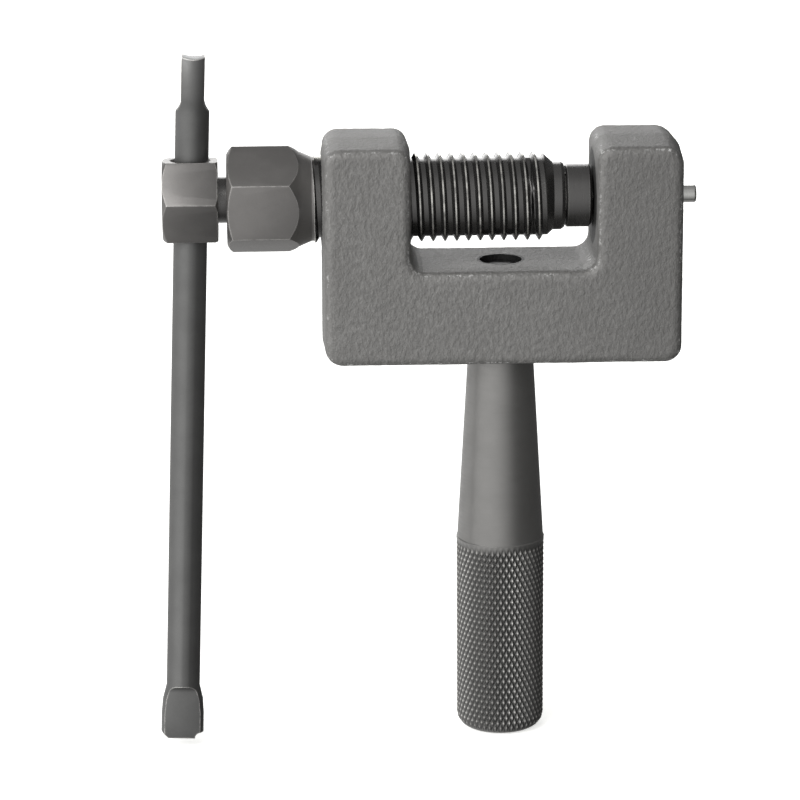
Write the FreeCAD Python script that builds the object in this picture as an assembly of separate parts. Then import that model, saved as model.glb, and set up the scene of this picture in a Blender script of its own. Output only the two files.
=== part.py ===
import FreeCAD, Part
import math
import os

# Heavy-duty chain tool: a forged U body on a knurled handle, a hollow pressure
# screw through the left arm, and inside it a pin screw that drives the push pin.
# Millimetres. The origin is the centre of the handle's end face, +Z runs up the
# handle, +X along the spindle from the screw heads to the anvil arm, and the
# front of the body faces -Y.

# Handle
HANDLE_LENGTH = 86.05
HANDLE_NECK_DIA = 14.2
HANDLE_WAIST_DIA = 18.95
GRIP_DIA = 19.35
GRIP_LENGTH = 44.0
GRIP_END_ROUND = 3.0
STUD_DIA = 9.03  # M10 at its pitch diameter
STUD_RECESS = 1.3
STUD_CHAMFER = 0.9

# Body
BODY_WIDTH = 77.8
BODY_DEPTH = 26.0
BODY_HEIGHT = 48.05
AXIS_DROP = 13.5  # from the tops of the arms down to the spindle
GAP_WIDTH = 39.2
FLOOR_DROP = 13.9  # from the spindle down to the floor of the gap
DRAFT = 0.5  # how far the sides and tops lean in from the parting line
FOOT_CORNER = 3.8
TOP_OUTER_CORNER = 4.4
TOP_INNER_CORNER = 3.4
GAP_CORNER = 3.2
FACE_ROUND = 2.0
STUD_HOLE_CLEARANCE = 0.09
SCREW_BORE_CLEARANCE = 0.15
MOUTH_CHAMFER = 0.5
ANVIL_HOLE_DIA = 6.0

# Pressure screw, 3/4 in with 10 turns to the inch; along it, from the body's left side
SCREW_DIA = 19.05
SCREW_PITCH = 2.54
SCREW_THREAD_DEPTH = 1.1
CREST_AT_TOP = -0.62  # where a crest crosses the line above the axis
THREAD_RUN_IN = 0.4
SCREW_HEAD_LENGTH = 18.2
SCREW_HEAD_FLATS = 20.6
SCREW_HEAD_TURN = 25.6
SCREW_HEAD_CHAMFER = 1.2
SCREW_HEAD_CHAMFER_ANGLE = 30.0
CONE_ANGLE = 37.0
CONE_LOW_ANGLE = 23.0
CONE_BREAK_BELOW_CORNER = 1.6  # where the cone's two slopes meet
COLLAR_FROM_BODY = 2.0
COLLAR_LENGTH = 0.6
COLLAR_BELOW_CREST = 0.4  # the collar's radius is this much less than the thread's
NECK_SHOULDER = 2.4  # from the thread's end down to the neck
NECK_LENGTH = 2.4
NECK_CHAMFER_LENGTH = 0.7
NECK_BELOW_CREST = 2.175
NECK_END_BELOW_CREST = 2.625
PIN_SCREW_BORE_CLEARANCE = 0.15
PIN_SCREW_BORE_LENGTH = 33.4
PIN_HEAD_BORE_DIA = 8.8
SPIGOT_END_PLAY = 0.6
SPIGOT_CLEARANCE = 0.1

# Swivelling nose and its snap ring; along it, back from the right arm
NOSE_FROM_ARM = 0.3
NOSE_LENGTH = 5.5
NOSE_FROM_SCREW = 0.3
NOSE_DIA = 13.6
NOSE_REAR_CHAMFER = 0.35
NOSE_FRONT_CHAMFER = 0.5
SPIGOT_LENGTH = 11.8
SPIGOT_DIA = 10.0
SPRING_POCKET_DIA = 7.0
NOSE_WALL = 4.3
RING_FROM_NOSE = 6.4
RING_THICKNESS = 0.8
RING_SECTION = 1.1
RING_SLOT = 3.0
RING_SIDE_CLEARANCE = 0.06
RING_GROOVE_CLEARANCE = 0.05

# Pin screw, M10
PIN_SCREW_DIA = 10.0
PIN_SCREW_PITCH = 1.5
PIN_SCREW_THREAD_DEPTH = 0.85
PIN_SCREW_THREAD_LENGTH = 33.5
PIN_SCREW_HEAD_FROM_SCREW = 1.9
PIN_SCREW_HEAD_LENGTH = 11.9
PIN_SCREW_FLATS = 17.2
PIN_SCREW_LEFT_CHAMFER = 1.0
PIN_SCREW_RIGHT_CHAMFER = 0.5
PIN_SCREW_CHAMFER_ANGLE = 35.0
PUSHER_DIA = 8.2
PUSHER_CHAMFER = 0.6
PUSHER_END_PLAY = 0.05

# Push pin
PIN_DIA = 3.8
PIN_HOLE_CLEARANCE = 0.1
PIN_HEAD_BEHIND_SPIGOT = 3.0
PIN_HEAD_LENGTH = 3.0
PIN_HEAD_DIA = 8.3
PIN_PROUD = 3.35  # beyond the body's right side
PIN_TIP_ROUND = 0.5

# Return spring
SPRING_WIRE = 0.8
SPRING_MEAN_DIA = 5.5
SPRING_TURNS = 9
SPRING_END_CLEARANCE = 0.05

# Tommy bar
BAR_FROM_HEAD_END = 6.1
BAR_DIA = 7.3
BAR_HOLE_CLEARANCE = 0.4
BAR_HOLE_CHAMFER = 0.5
BAR_LEAN = 5.0  # its foot stands towards the front
BAR_TILT = 1.95  # and away from the body, by the play in its hole
BAR_TOP = 31.15
BAR_FOOT = 119.15
BLADE_LENGTH = 11.8
BLADE_THICKNESS = 5.0
BLADE_WIDTH = 9.3
TOP_RUN_OUT = 2.8
FOOT_RUN_OUT = 1.5
RUN_OUT_SAG = 0.14
BLADE_FLARE = 6.4
FLARE_BULGE = 0.76
TIP_SADDLE_DEPTH = 0.5
FOOT_CORNER_HEIGHT = 1.35
FOOT_CORNER_WIDTH = 1.6
NICK_DIA = 2.6
NICK_FROM_EDGE = 0.55

SAME_PLACE = 1e-6

# Worked out from the sizes above
TOP_Z = HANDLE_LENGTH + BODY_HEIGHT
AXIS_Z = TOP_Z - AXIS_DROP
FLOOR_Z = AXIS_Z - FLOOR_DROP
COLLAR_LEFT = -BODY_WIDTH / 2 - COLLAR_FROM_BODY
THREAD_LEFT = COLLAR_LEFT + COLLAR_LENGTH
SCREW_HEAD_LEFT = COLLAR_LEFT - SCREW_HEAD_LENGTH
PIN_SCREW_BORE_END = SCREW_HEAD_LEFT + PIN_SCREW_BORE_LENGTH
PIN_SCREW_HEAD_RIGHT = SCREW_HEAD_LEFT - PIN_SCREW_HEAD_FROM_SCREW
PIN_SCREW_HEAD_LEFT = PIN_SCREW_HEAD_RIGHT - PIN_SCREW_HEAD_LENGTH
PIN_SCREW_THREAD_END = PIN_SCREW_HEAD_RIGHT + PIN_SCREW_THREAD_LENGTH
BAR_X = PIN_SCREW_HEAD_LEFT + BAR_FROM_HEAD_END
NOSE_RIGHT = GAP_WIDTH / 2 - NOSE_FROM_ARM
NOSE_LEFT = NOSE_RIGHT - NOSE_LENGTH
SPRING_POCKET_END = NOSE_RIGHT - NOSE_WALL
SPIGOT_LEFT = NOSE_LEFT - SPIGOT_LENGTH
SPIGOT_BORE_LEFT = SPIGOT_LEFT - SPIGOT_END_PLAY
NECK_RIGHT = NOSE_LEFT - NOSE_FROM_SCREW
NECK_CHAMFER_LEFT = NECK_RIGHT - NECK_CHAMFER_LENGTH
NECK_LEFT = NECK_RIGHT - NECK_LENGTH
THREAD_RIGHT = NECK_LEFT - NECK_SHOULDER
PIN_HEAD_LEFT = SPIGOT_LEFT - PIN_HEAD_BEHIND_SPIGOT - PIN_HEAD_LENGTH
PIN_TIP = BODY_WIDTH / 2 + PIN_PROUD
PUSHER_END = PIN_HEAD_LEFT - PUSHER_END_PLAY
RING_LEFT = NOSE_LEFT - RING_FROM_NOSE - RING_THICKNESS
RING_INNER_DIA = SPIGOT_DIA - RING_SECTION
RING_OUTER_DIA = SPIGOT_DIA + RING_SECTION
RING_GROOVE_LEFT = RING_LEFT - RING_SIDE_CLEARANCE
RING_GROOVE_RIGHT = RING_LEFT + RING_THICKNESS + RING_SIDE_CLEARANCE

# Shape of a unified or metric thread, and how far cutters run past what they cut
THREAD_FLANK = math.radians(30)
CREST_SHARE = 1 / 8
GROOVE_OVER_SHARE = 1 / 16
PAST = 1.0

ORIGIN = FreeCAD.Vector(0, 0, 0)
UP = FreeCAD.Vector(0, 0, 1)
ALONG_X = FreeCAD.Vector(1, 0, 0)
ALONG_Y = FreeCAD.Vector(0, 1, 0)


def vec(x, y, z):
    return FreeCAD.Vector(x, y, z)


def turned(outline, about_z=False):
    """A turned piece. outline gives (place along the axis, radius) all the way round."""
    points = [vec(r, 0, s) if about_z else vec(s, 0, r) for s, r in outline]
    face = Part.Face(Part.makePolygon(points + points[:1]))
    return face.revolve(ORIGIN, UP if about_z else ALONG_X, 360)


def rod(start, end, dia):
    """A round rod on the spindle, before it is lifted to its height."""
    return Part.makeCylinder(dia / 2, end - start, vec(start, 0, 0), ALONG_X)


def lifted(shape):
    """A piece made about the X axis, raised to the spindle."""
    shape.translate(vec(0, 0, AXIS_Z))
    return shape


def laid_along_x(shape):
    """Turns a helical piece from about Z to about X, with its start at +Y."""
    shape.rotate(ORIGIN, vec(1, 1, 1), 120)
    return shape


def corner_radius(flats):
    """From a hexagon's size across its flats to the radius of its corners."""
    return flats / 2 / math.cos(math.radians(30))


def hexagon(start, end, flats, turn):
    """A hexagonal bar about X. turn raises the front corner, in degrees."""
    radius = corner_radius(flats)
    corners = []
    for n in range(6):
        angle = math.radians(180 - turn + 60 * n)
        corners.append(vec(start, radius * math.cos(angle), radius * math.sin(angle)))
    face = Part.Face(Part.makePolygon(corners + corners[:1]))
    return face.extrude(vec(end - start, 0, 0))


def helical_groove(dia, pitch, depth, start, end, first_angle):
    """The cutter for a right-hand thread about X. It is centred at start where the
    helix crosses first_angle, in degrees from +Y towards +Z."""
    root = dia / 2 - depth
    over = pitch * GROOVE_OVER_SHARE
    mouth = pitch * (1 - CREST_SHARE) / 2
    outer_half = mouth + over * math.tan(THREAD_FLANK)
    root_half = mouth - depth * math.tan(THREAD_FLANK)
    outer = dia / 2 + over
    corners = [
        vec(root, 0, -root_half),
        vec(outer, 0, -outer_half),
        vec(outer, 0, outer_half),
        vec(root, 0, root_half),
    ]
    section = Part.makePolygon(corners + corners[:1])
    helix = Part.Wire(Part.makeHelix(pitch, end - start, root))
    cutter = laid_along_x(helix.makePipeShell([section], True, True))
    cutter.rotate(ORIGIN, ALONG_X, first_angle)
    cutter.translate(vec(start, 0, 0))
    return cutter


def bar_placement():
    """Where the bar's own frame lies: its Z is the bar, its X and Y face right and back."""
    tilt = FreeCAD.Rotation(ALONG_Y, BAR_TILT)
    lean = FreeCAD.Rotation(ALONG_X, -BAR_LEAN)
    return FreeCAD.Placement(vec(BAR_X, 0, AXIS_Z), lean.multiply(tilt))


def body_outline(y, inset):
    """The U of the body as one wire at depth y, with its sides and tops drawn in."""
    half, gap = BODY_WIDTH / 2 - inset, GAP_WIDTH / 2 + inset / 2
    top = TOP_Z - inset
    corners = [
        (-half, HANDLE_LENGTH, FOOT_CORNER),
        (half, HANDLE_LENGTH, FOOT_CORNER),
        (half, top, TOP_OUTER_CORNER),
        (gap, top, TOP_INNER_CORNER),
        (gap, FLOOR_Z, GAP_CORNER),
        (-gap, FLOOR_Z, GAP_CORNER),
        (-gap, top, TOP_INNER_CORNER),
        (-half, top, TOP_INNER_CORNER),
    ]
    points = [vec(x, y, z) for x, z, _ in corners]
    edges, arcs = [], []
    for n, (_, _, radius) in enumerate(corners):
        here, before, after = points[n], points[n - 1], points[(n + 1) % len(points)]
        to_before = (before - here).normalize()
        to_after = (after - here).normalize()
        middle = here + (to_before + to_after) * (radius * (1 - math.sqrt(0.5)))
        arcs.append((here + to_before * radius, middle, here + to_after * radius))
    for n, (start, middle, end) in enumerate(arcs):
        edges.append(Part.LineSegment(arcs[n - 1][2], start).toShape())
        edges.append(Part.Arc(start, middle, end).toShape())
    return Part.Wire(edges)


def u_body():
    """Forging with a parting line at mid-depth, rounded front and back edges and three holes."""
    half_depth = BODY_DEPTH / 2
    middle = body_outline(0, 0)
    front = Part.makeLoft([middle, body_outline(-half_depth, DRAFT)], True, True)
    back = Part.makeLoft([middle, body_outline(half_depth, DRAFT)], True, True)
    block = front.fuse(back)
    rims = [
        edge
        for edge in block.Edges
        if all(abs(abs(v.Y) - half_depth) < SAME_PLACE for v in edge.Vertexes)
    ]
    block = block.makeFillet(FACE_ROUND, rims)
    return block.cut([lifted(screw_bore()), lifted(anvil_hole()), stud_hole()])


def screw_bore():
    """The pressure screw's hole through the left arm, countersunk at both mouths."""
    bore = SCREW_DIA / 2 + SCREW_BORE_CLEARANCE
    left, inner = -BODY_WIDTH / 2, -GAP_WIDTH / 2
    return turned(
        [
            (left - PAST, 0),
            (left - PAST, bore + MOUTH_CHAMFER + PAST),
            (left + MOUTH_CHAMFER, bore),
            (inner - MOUTH_CHAMFER, bore),
            (inner + PAST, bore + MOUTH_CHAMFER + PAST),
            (inner + PAST, 0),
        ]
    )


def anvil_hole():
    """The hole through the right arm that the rivet is driven into."""
    hole, inner = ANVIL_HOLE_DIA / 2, GAP_WIDTH / 2
    return turned(
        [
            (inner - PAST, 0),
            (inner - PAST, hole + MOUTH_CHAMFER + PAST),
            (inner + MOUTH_CHAMFER, hole),
            (BODY_WIDTH / 2 + PAST, hole),
            (BODY_WIDTH / 2 + PAST, 0),
        ]
    )


def stud_hole():
    """The hole through the base that takes the handle's stud."""
    radius = STUD_DIA / 2 + STUD_HOLE_CLEARANCE
    length = FLOOR_Z - HANDLE_LENGTH + 2 * PAST
    return Part.makeCylinder(radius, length, vec(0, 0, HANDLE_LENGTH - PAST))


def handle():
    """Turned from bar: end round, grip under the knurl, taper, shoulder and stud."""
    end_flat = GRIP_DIA / 2 - GRIP_END_ROUND
    stud_top = FLOOR_Z - STUD_RECESS
    blank = turned(
        [
            (0, 0),
            (0, GRIP_DIA / 2),
            (GRIP_LENGTH, GRIP_DIA / 2),
            (GRIP_LENGTH + (GRIP_DIA - HANDLE_WAIST_DIA) / 2, HANDLE_WAIST_DIA / 2),
            (HANDLE_LENGTH, HANDLE_NECK_DIA / 2),
            (HANDLE_LENGTH, STUD_DIA / 2),
            (stud_top - STUD_CHAMFER, STUD_DIA / 2),
            (stud_top, STUD_DIA / 2 - STUD_CHAMFER),
            (stud_top, 0),
        ],
        about_z=True,
    )
    rim = [
        edge
        for edge in blank.Edges
        if edge.BoundBox.ZMax < SAME_PLACE and edge.BoundBox.XMax > end_flat
    ]
    return blank.makeFillet(GRIP_END_ROUND, rim)


def pressure_screw():
    """Hollow screw: hexagonal head with a conical shoulder, collar, thread, neck and bores."""
    corner = corner_radius(SCREW_HEAD_FLATS)
    collar = SCREW_DIA / 2 - COLLAR_BELOW_CREST
    chamfer_drop = SCREW_HEAD_CHAMFER / math.tan(math.radians(SCREW_HEAD_CHAMFER_ANGLE))
    cone_break = max(corner - CONE_BREAK_BELOW_CORNER, collar)
    low_cone = (cone_break - collar) / math.tan(math.radians(CONE_LOW_ANGLE))
    high_cone = (corner + PAST - cone_break) / math.tan(math.radians(CONE_ANGLE))
    head = hexagon(SCREW_HEAD_LEFT, COLLAR_LEFT, SCREW_HEAD_FLATS, SCREW_HEAD_TURN)
    head = head.common(
        turned(
            [
                (SCREW_HEAD_LEFT, 0),
                (SCREW_HEAD_LEFT, corner - chamfer_drop),
                (SCREW_HEAD_LEFT + SCREW_HEAD_CHAMFER, corner),
                (SCREW_HEAD_LEFT + SCREW_HEAD_CHAMFER + PAST, corner + PAST),
                (COLLAR_LEFT - low_cone - high_cone, corner + PAST),
                (COLLAR_LEFT - low_cone, cone_break),
                (COLLAR_LEFT, collar),
                (COLLAR_LEFT, 0),
            ]
        )
    )
    shank = turned(
        [
            (COLLAR_LEFT, 0),
            (COLLAR_LEFT, collar),
            (THREAD_LEFT, collar),
            (THREAD_LEFT, SCREW_DIA / 2),
            (THREAD_RIGHT, SCREW_DIA / 2),
            (NECK_LEFT, SCREW_DIA / 2 - NECK_BELOW_CREST),
            (NECK_CHAMFER_LEFT, SCREW_DIA / 2 - NECK_BELOW_CREST),
            (NECK_RIGHT, SCREW_DIA / 2 - NECK_END_BELOW_CREST),
            (NECK_RIGHT, 0),
        ]
    )
    groove_start = THREAD_LEFT + THREAD_RUN_IN
    turns_from_top = (groove_start - CREST_AT_TOP) / SCREW_PITCH - 0.5
    groove = helical_groove(
        SCREW_DIA,
        SCREW_PITCH,
        SCREW_THREAD_DEPTH,
        groove_start,
        NECK_RIGHT,
        90 + 360 * (turns_from_top - math.floor(turns_from_top)),
    )
    pin_screw_bore_dia = PIN_SCREW_DIA + 2 * PIN_SCREW_BORE_CLEARANCE
    bores = [
        rod(SCREW_HEAD_LEFT - PAST, PIN_SCREW_BORE_END, pin_screw_bore_dia),
        rod(PIN_SCREW_BORE_END - PAST, SPIGOT_BORE_LEFT + PAST, PIN_HEAD_BORE_DIA),
        rod(SPIGOT_BORE_LEFT, NECK_RIGHT + PAST, SPIGOT_DIA + 2 * SPIGOT_CLEARANCE),
        rod(RING_GROOVE_LEFT, RING_GROOVE_RIGHT, RING_OUTER_DIA + 2 * RING_GROOVE_CLEARANCE),
    ]
    # the groove is cut in a longer plain rod first, which the shank's outline then trims
    threaded = rod(COLLAR_LEFT - SCREW_PITCH, NECK_RIGHT + SCREW_PITCH, SCREW_DIA).cut(groove)
    return lifted(head.fuse(threaded.common(shank)).cut(bores))


def swivel_nose():
    """Nose that presses on the chain plate, with a spigot that turns in the pressure screw."""
    nose, spigot = NOSE_DIA / 2, SPIGOT_DIA / 2
    pocket, hole = SPRING_POCKET_DIA / 2, PIN_DIA / 2 + PIN_HOLE_CLEARANCE
    groove_floor = RING_INNER_DIA / 2 - RING_GROOVE_CLEARANCE
    return lifted(
        turned(
            [
                (SPIGOT_LEFT, pocket),
                (SPIGOT_LEFT, spigot),
                (RING_GROOVE_LEFT, spigot),
                (RING_GROOVE_LEFT, groove_floor),
                (RING_GROOVE_RIGHT, groove_floor),
                (RING_GROOVE_RIGHT, spigot),
                (NOSE_LEFT, spigot),
                (NOSE_LEFT, nose - NOSE_REAR_CHAMFER),
                (NOSE_LEFT + NOSE_REAR_CHAMFER, nose),
                (NOSE_RIGHT - NOSE_FRONT_CHAMFER, nose),
                (NOSE_RIGHT, nose - NOSE_FRONT_CHAMFER),
                (NOSE_RIGHT, hole),
                (SPRING_POCKET_END, hole),
                (SPRING_POCKET_END, pocket),
            ]
        )
    )


def nose_snap_ring():
    """Split ring that keeps the nose in the pressure screw."""
    left, right = RING_LEFT - PAST, RING_LEFT + RING_THICKNESS + PAST
    ring = rod(RING_LEFT, RING_LEFT + RING_THICKNESS, RING_OUTER_DIA)
    slot_corner = vec(left, -RING_SLOT / 2, -RING_OUTER_DIA)
    slot = Part.makeBox(right - left, RING_SLOT, RING_OUTER_DIA, slot_corner)
    return lifted(ring.cut([rod(left, right, RING_INNER_DIA), slot]))


def pin_screw():
    """Screw with a cross-drilled hexagonal head and a plain pusher ahead of its thread."""
    corner = corner_radius(PIN_SCREW_FLATS)
    slope = 1 / math.tan(math.radians(PIN_SCREW_CHAMFER_ANGLE))
    head = hexagon(PIN_SCREW_HEAD_LEFT, PIN_SCREW_HEAD_RIGHT, PIN_SCREW_FLATS, BAR_LEAN)
    head = head.common(
        turned(
            [
                (PIN_SCREW_HEAD_LEFT, 0),
                (PIN_SCREW_HEAD_LEFT, corner - PIN_SCREW_LEFT_CHAMFER * slope),
                (PIN_SCREW_HEAD_LEFT + PIN_SCREW_LEFT_CHAMFER, corner),
                (PIN_SCREW_HEAD_RIGHT - PIN_SCREW_RIGHT_CHAMFER, corner),
                (PIN_SCREW_HEAD_RIGHT, corner - PIN_SCREW_RIGHT_CHAMFER * slope),
                (PIN_SCREW_HEAD_RIGHT, 0),
            ]
        )
    )
    shank = turned(
        [
            (PIN_SCREW_HEAD_RIGHT, 0),
            (PIN_SCREW_HEAD_RIGHT, PIN_SCREW_DIA / 2),
            (PIN_SCREW_THREAD_END - PIN_SCREW_THREAD_DEPTH, PIN_SCREW_DIA / 2),
            (PIN_SCREW_THREAD_END, PUSHER_DIA / 2),
            (PUSHER_END - PUSHER_CHAMFER, PUSHER_DIA / 2),
            (PUSHER_END, PUSHER_DIA / 2 - PUSHER_CHAMFER),
            (PUSHER_END, 0),
        ]
    )
    groove = helical_groove(
        PIN_SCREW_DIA,
        PIN_SCREW_PITCH,
        PIN_SCREW_THREAD_DEPTH,
        PIN_SCREW_HEAD_RIGHT + PIN_SCREW_PITCH / 2,
        PIN_SCREW_THREAD_END + PIN_SCREW_PITCH,
        90,
    )
    screw = lifted(head.fuse(shank.cut(groove)))
    return screw.cut(bar_hole())


def bar_hole():
    """The hole through the pin screw's head, countersunk at both mouths."""
    radius = BAR_DIA / 2 + BAR_HOLE_CLEARANCE
    mouth = PIN_SCREW_FLATS / 2
    wide = radius + BAR_HOLE_CHAMFER + PAST
    hole = turned(
        [
            (-mouth - PAST, 0),
            (-mouth - PAST, wide),
            (BAR_HOLE_CHAMFER - mouth, radius),
            (mouth - BAR_HOLE_CHAMFER, radius),
            (mouth + PAST, wide),
            (mouth + PAST, 0),
        ],
        about_z=True,
    )
    square_to_head = FreeCAD.Rotation(ALONG_X, -BAR_LEAN)
    hole.Placement = FreeCAD.Placement(vec(BAR_X, 0, AXIS_Z), square_to_head)
    return hole


def push_pin():
    """Headed pin that drives the chain's rivet out through the anvil arm."""
    radius, head = PIN_DIA / 2, PIN_HEAD_DIA / 2
    shoulder = PIN_HEAD_LEFT + PIN_HEAD_LENGTH
    pin = turned(
        [
            (PIN_HEAD_LEFT, 0),
            (PIN_HEAD_LEFT, head),
            (shoulder, head),
            (shoulder, radius),
            (PIN_TIP, radius),
            (PIN_TIP, 0),
        ]
    )
    tip = [edge for edge in pin.Edges if edge.BoundBox.XMin > PIN_TIP - SAME_PLACE]
    return lifted(pin.makeFillet(PIN_TIP_ROUND, tip))


def return_spring():
    """Coil spring between the push pin's head and the bottom of the nose's pocket."""
    start = PIN_HEAD_LEFT + PIN_HEAD_LENGTH + SPRING_END_CLEARANCE + SPRING_WIRE / 2
    length = SPRING_POCKET_END - SPRING_END_CLEARANCE - SPRING_WIRE / 2 - start
    helix = Part.Wire(Part.makeHelix(length / SPRING_TURNS, length, SPRING_MEAN_DIA / 2))
    wire = Part.Wire(Part.makeCircle(SPRING_WIRE / 2, vec(SPRING_MEAN_DIA / 2, 0, 0), ALONG_Y))
    spring = laid_along_x(helix.makePipeShell([wire], True, True))
    spring.translate(vec(start, 0, 0))
    return lifted(spring)


def pressed_slab(run_out):
    """The slab between a flattened end's two faces, with a scooped run-out at each."""
    radius, thin = BAR_DIA / 2, BLADE_THICKNESS / 2
    waist = thin + (radius - thin) * RUN_OUT_SAG
    sides = []
    for sign in (1, -1):
        foot = vec(sign * radius, -BLADE_WIDTH, 0)
        middle = vec(sign * waist, -BLADE_WIDTH, run_out / 2)
        shoulder = vec(sign * thin, -BLADE_WIDTH, run_out)
        tip = vec(sign * thin, -BLADE_WIDTH, BLADE_LENGTH)
        sides.append((foot, tip, Part.Arc(foot, middle, shoulder), Part.LineSegment(shoulder, tip)))
    (right_foot, right_tip, *right), (left_foot, left_tip, *left) = sides
    ends = [Part.LineSegment(right_tip, left_tip), Part.LineSegment(left_foot, right_foot)]
    edges = [curve.toShape() for curve in right + left + ends]
    face = Part.Face(Part.Wire(Part.__sortEdges__(edges)))
    return face.extrude(vec(0, 2 * BLADE_WIDTH, 0))


def blade(run_out):
    """A flattened end of the bar, standing on its shoulder at z = 0 and thin in X."""
    radius, wide = BAR_DIA / 2, BLADE_WIDTH / 2
    spread = turned(
        [
            (0, 0),
            (0, radius),
            (BLADE_FLARE / 2, radius + (wide - radius) * FLARE_BULGE),
            (BLADE_FLARE, wide),
            (BLADE_LENGTH, wide),
            (BLADE_LENGTH, 0),
        ],
        about_z=True,
    )
    return pressed_slab(run_out).common(spread)


def tip_saddle():
    """The shallow hollow left across the top blade's tip."""
    thin = BLADE_THICKNESS / 2
    radius = (thin**2 + TIP_SADDLE_DEPTH**2) / (2 * TIP_SADDLE_DEPTH)
    centre = vec(0, -BLADE_WIDTH, BLADE_LENGTH + radius - TIP_SADDLE_DEPTH)
    return Part.makeCylinder(radius, 2 * BLADE_WIDTH, centre, ALONG_Y)


def foot_corner():
    """What is missing from one corner of the foot blade, where it was sheared."""
    wide = BLADE_WIDTH / 2
    points = [
        (wide + PAST, BLADE_LENGTH - FOOT_CORNER_HEIGHT * (1 + PAST / FOOT_CORNER_WIDTH)),
        (wide + PAST, BLADE_LENGTH + PAST),
        (wide - FOOT_CORNER_WIDTH, BLADE_LENGTH + PAST),
        (wide - FOOT_CORNER_WIDTH, BLADE_LENGTH),
    ]
    points = [vec(-BLADE_THICKNESS, y, z) for y, z in points]
    face = Part.Face(Part.makePolygon(points + points[:1]))
    return face.extrude(vec(2 * BLADE_THICKNESS, 0, 0))


def foot_nick():
    """The small nick beside the foot blade's other corner."""
    centre = vec(-BLADE_THICKNESS, NICK_FROM_EDGE - BLADE_WIDTH / 2, BLADE_LENGTH)
    return Part.makeCylinder(NICK_DIA / 2, 2 * BLADE_THICKNESS, centre, ALONG_X)


def tommy_bar():
    """Round bar, pressed flat at both ends so that it stays in its hole."""
    top_shoulder = BAR_TOP - BLADE_LENGTH
    foot_shoulder = BAR_FOOT - BLADE_LENGTH
    bar = Part.makeCylinder(BAR_DIA / 2, top_shoulder + foot_shoulder, vec(0, 0, -foot_shoulder))
    top = blade(TOP_RUN_OUT).cut(tip_saddle())
    top.translate(vec(0, 0, top_shoulder))
    foot = blade(FOOT_RUN_OUT).cut([foot_corner(), foot_nick()])
    foot.rotate(ORIGIN, ALONG_X, 180)
    foot.rotate(ORIGIN, UP, -90)
    foot.translate(vec(0, 0, -foot_shoulder))
    whole = bar.fuse([top, foot])
    whole.Placement = bar_placement()
    return whole


PIECES = {
    "u_body": u_body,
    "handle": handle,
    "pressure_screw": pressure_screw,
    "swivel_nose": swivel_nose,
    "nose_snap_ring": nose_snap_ring,
    "pin_screw": pin_screw,
    "push_pin": push_pin,
    "return_spring": return_spring,
    "tommy_bar": tommy_bar,
}


def main():
    os.makedirs("parts", exist_ok=True)
    for name, make in PIECES.items():
        shape = make()
        if len(shape.Solids) == 1:
            shape = shape.Solids[0]
        shape.exportStep(f"parts/{name}.step")
        print(f"{name:16s} valid {shape.isValid()} solids {len(shape.Solids)} volume {shape.Volume:9.1f}")


if __name__ == "__main__":
    main()
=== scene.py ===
"""Chain breaker: the finishes and fine surface detail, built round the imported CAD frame."""

import math

import bmesh
import bpy
import numpy as np
from bpy.props import (
    FloatProperty,
    FloatVectorProperty,
    IntProperty,
    PointerProperty,
)
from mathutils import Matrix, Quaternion, Vector, noise


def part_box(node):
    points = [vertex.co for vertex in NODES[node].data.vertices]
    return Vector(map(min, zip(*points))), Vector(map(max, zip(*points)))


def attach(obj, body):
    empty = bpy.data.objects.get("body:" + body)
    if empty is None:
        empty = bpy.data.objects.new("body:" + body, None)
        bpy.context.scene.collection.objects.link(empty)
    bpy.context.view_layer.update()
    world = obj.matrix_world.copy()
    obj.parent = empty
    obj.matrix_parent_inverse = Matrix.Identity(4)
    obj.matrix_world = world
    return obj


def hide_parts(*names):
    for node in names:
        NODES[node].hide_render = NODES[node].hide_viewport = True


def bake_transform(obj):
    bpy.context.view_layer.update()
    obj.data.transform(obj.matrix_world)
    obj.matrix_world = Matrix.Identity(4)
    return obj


bl_info = {
    "name": "Chain breaker",
    "version": (1, 0, 0),
    "blender": (4, 5, 0),
    "location": "View3D > Sidebar > Chain breaker",
    "description": "Builds a screw-type chain breaker's finishes round its CAD frame",
    "category": "Object",
}

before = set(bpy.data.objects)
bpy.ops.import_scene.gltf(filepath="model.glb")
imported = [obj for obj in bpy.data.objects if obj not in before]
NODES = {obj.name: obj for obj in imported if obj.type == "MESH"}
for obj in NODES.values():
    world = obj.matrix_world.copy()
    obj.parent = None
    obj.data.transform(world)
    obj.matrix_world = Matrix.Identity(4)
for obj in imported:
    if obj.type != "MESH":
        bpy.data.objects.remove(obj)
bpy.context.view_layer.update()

MM = 0.001
SPINDLE_HEIGHT = (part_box("push_pin")[0].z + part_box("push_pin")[1].z) / 2
GRIP_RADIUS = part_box("handle")[1].x
BODY_LOW, BODY_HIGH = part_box("u_body")
GAP_HALF, GAP_FLOOR = 19.6 * MM, 106.7 * MM
SCREW_BORE, ANVIL_BORE, STUD_BORE = 9.675 * MM, 3.0 * MM, 4.605 * MM
SCREW_HEAD_END, PIN_HEAD_END, CREST_RADIUS = -40.9 * MM, -61.0 * MM, 9.525 * MM
GRIP_LENGTH, GRIP_END_ROUND, HANDLE_TOP = 44.0 * MM, 3.0 * MM, 86.05 * MM
TINY = 0.01 * MM


def linear(hex_colour):
    """An sRGB hex colour as linear red, green and blue."""
    parts = [int(hex_colour[at : at + 2], 16) / 255 for at in (1, 3, 5)]
    return tuple(
        c / 12.92 if c <= 0.04045 else ((c + 0.055) / 1.055) ** 2.4 for c in parts
    )


def tint(name, description, hex_colour):
    """A colour property whose default is an sRGB hex value."""
    return FloatVectorProperty(
        name=name,
        description=description,
        subtype="COLOR",
        size=3,
        min=0.0,
        max=1.0,
        default=linear(hex_colour),
    )


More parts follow.
